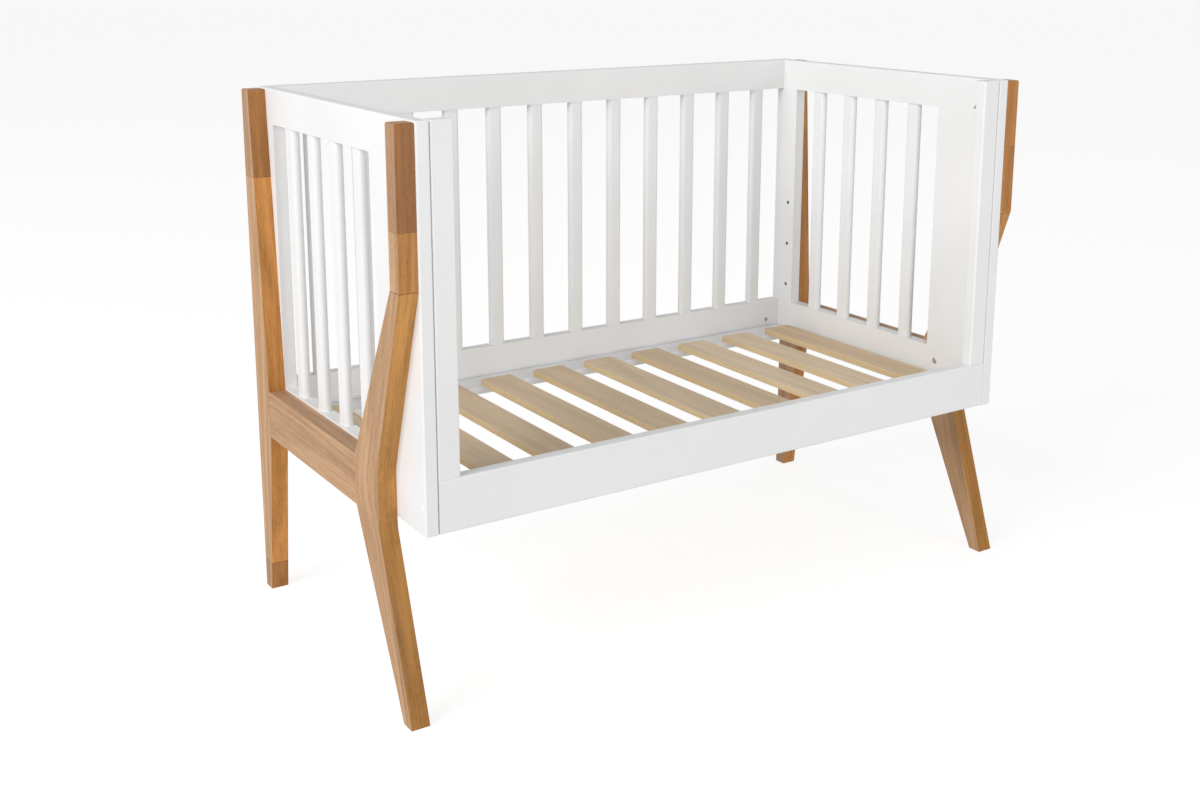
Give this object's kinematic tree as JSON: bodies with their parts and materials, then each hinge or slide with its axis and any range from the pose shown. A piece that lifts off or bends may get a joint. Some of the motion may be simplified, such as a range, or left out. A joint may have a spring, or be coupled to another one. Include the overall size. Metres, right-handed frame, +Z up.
{
  "type": "baby crib",
  "caption": "Slatted baby crib with an open front, height-adjustable slatted mattress base and splayed wooden leg frames at both ends.",
  "frame": {"origin": "on the floor, in the middle of the crib", "axes": "+X along the length, +Y towards the rear panel, +Z up"},
  "size_m": [1.315, 0.656, 0.9675],
  "materials": {
    "painted_wood": "satin white paint over fine-grained wood",
    "oiled_wood": "oiled warm hardwood, finger-jointed",
    "slat_wood": "planed natural hardwood",
    "dowel_wood": "fluted beech",
    "zinc_steel": "zinc-plated steel",
    "white_cap": "white moulded plastic"
  },
  "bodies": {
    "frame": {"barrel_nuts": "zinc_steel", "base_bolts": "zinc_steel", "bolt_caps": "white_cap", "connector_bolts": "zinc_steel", "connector_studs": "zinc_steel", "entry_left_stile": "painted_wood", "entry_right_stile": "painted_wood", "front_left_leg_lower": "oiled_wood", "front_left_leg_upper": "oiled_wood", "front_rail": "painted_wood", "front_right_leg_lower": "oiled_wood", "front_right_leg_upper": "oiled_wood", "gate_catches": "zinc_steel", "joint_dowels": "dowel_wood", "left_cross_rail": "oiled_wood", "left_end_bars": "painted_wood", "left_end_bottom_rail": "painted_wood", "left_end_front_stile": "painted_wood", "left_end_rear_stile": "painted_wood", "left_end_top_rail": "painted_wood", "rear_bar_1": "painted_wood", "rear_bar_10": "painted_wood", "rear_bar_11": "painted_wood", "rear_bar_12": "painted_wood", "rear_bar_2": "painted_wood", "rear_bar_3": "painted_wood", "rear_bar_4": "painted_wood", "rear_bar_5": "painted_wood", "rear_bar_6": "painted_wood", "rear_bar_7": "painted_wood", "rear_bar_8": "painted_wood", "rear_bar_9": "painted_wood", "rear_bottom_rail": "painted_wood", "rear_left_leg_lower": "oiled_wood", "rear_left_leg_upper": "oiled_wood", "rear_right_leg_lower": "oiled_wood", "rear_right_leg_upper": "oiled_wood", "rear_top_rail": "painted_wood", "right_cross_rail": "oiled_wood", "right_end_bars": "painted_wood", "right_end_bottom_rail": "painted_wood", "right_end_front_stile": "painted_wood", "right_end_rear_stile": "painted_wood", "right_end_top_rail": "painted_wood", "threaded_inserts": "zinc_steel"},
    "mattress_base": {"base_front_rail": "painted_wood", "base_left_rail": "painted_wood", "base_rear_rail": "painted_wood", "base_right_rail": "painted_wood", "slat_1": "slat_wood", "slat_10": "slat_wood", "slat_2": "slat_wood", "slat_3": "slat_wood", "slat_4": "slat_wood", "slat_5": "slat_wood", "slat_6": "slat_wood", "slat_7": "slat_wood", "slat_8": "slat_wood", "slat_9": "slat_wood", "slat_screws": "zinc_steel"}
  },
  "joints": [
    {"name": "base_height", "type": "slide", "parent": "frame", "child": "mattress_base", "axis": [0, 0, 1], "range_m": [0, 0.306]}
  ]
}
